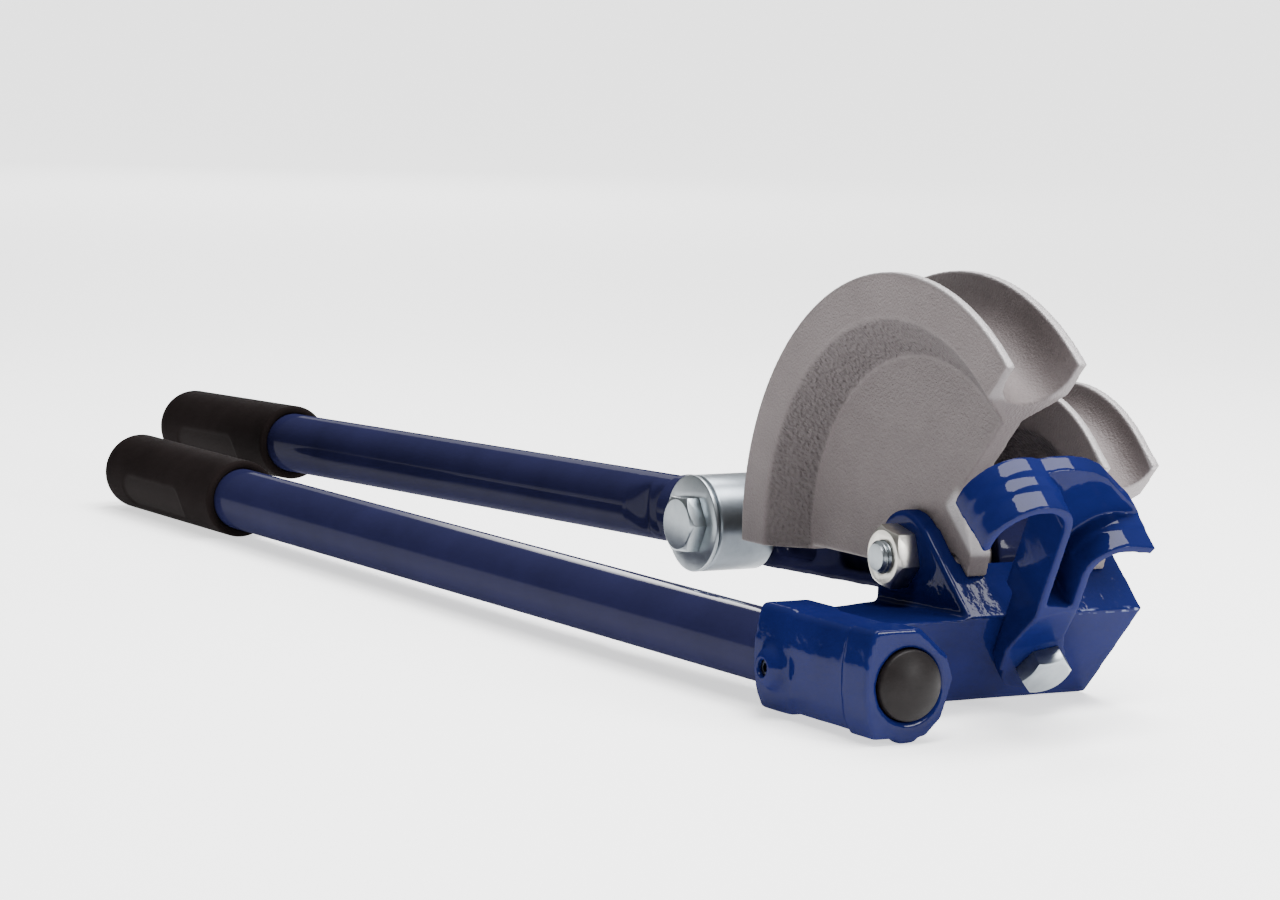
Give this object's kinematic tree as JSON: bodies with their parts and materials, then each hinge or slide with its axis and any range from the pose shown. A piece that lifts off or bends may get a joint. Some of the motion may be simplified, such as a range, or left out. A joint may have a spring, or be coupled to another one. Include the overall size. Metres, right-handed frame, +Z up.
{
  "type": "pipe bender",
  "caption": "Hand pipe bender: a fixed handle with grooved quarter formers, a swinging lever handle with rollers, and a pivoting stop hook that holds the pipe.",
  "frame": {"origin": "middle of the whole tool's box in X and Y, on the surface that it lies on", "axes": "+X along the fixed handle towards the head, +Y along the pivot bolt away from the large former's outer side, +Z up"},
  "size_m": [0.6314, 0.1254, 0.1279],
  "materials": {
    "blue_paint": "thick glossy deep blue paint over cast iron and steel tube",
    "cast_aluminium": "bare cast aluminium, fine grain, brighter on the worn edges",
    "zinc_steel": "bright zinc plated steel",
    "black_rubber": "matt black moulded rubber",
    "black_plastic": "satin dark brown black plastic"
  },
  "bodies": {
    "frame": {"head_casting": "blue_paint", "fixed_handle_tube": "blue_paint", "fixed_grip": "black_rubber", "socket_plug": "black_plastic", "lock_screw": "zinc_steel", "former_large": "cast_aluminium", "former_small": "cast_aluminium", "pivot_bolt": "zinc_steel", "pivot_nut": "zinc_steel", "pivot_sleeve": "zinc_steel", "stop_bolt": "zinc_steel"},
    "lever_arm": {"lever": "blue_paint", "moving_handle_tube": "blue_paint", "moving_grip": "black_rubber", "large_roller_bush": "zinc_steel", "large_roller_washer": "zinc_steel", "large_roller_bolt": "zinc_steel", "large_roller_nut": "zinc_steel", "small_roller_bush": "zinc_steel", "small_roller_washer": "zinc_steel", "small_roller_bolt": "zinc_steel"},
    "roller_large": {"large_roller": "zinc_steel"},
    "roller_small": {"small_roller": "zinc_steel"},
    "stop": {"stop_hook": "blue_paint"}
  },
  "joints": [
    {"name": "handle_swing", "type": "hinge", "parent": "frame", "child": "lever_arm", "pos_m": [0.22261, 0.02625, 0.04358], "axis": [0, 1, 0], "range_deg": [0, 125]},
    {"name": "large_roller_spin", "type": "hinge", "parent": "lever_arm", "child": "roller_large", "pos_m": [0.10573, 0.0031, 0.03812], "axis": [0, 1, 0], "continuous": true},
    {"name": "small_roller_spin", "type": "hinge", "parent": "lever_arm", "child": "roller_small", "pos_m": [0.14417, 0.0455, 0.04052], "axis": [0, 1, 0], "continuous": true},
    {"name": "stop_swing", "type": "hinge", "parent": "frame", "child": "stop", "pos_m": [0.24912, 0.0228, 0.01922], "axis": [0.7363, 0, -0.6767], "range_deg": [-30, 20]}
  ]
}
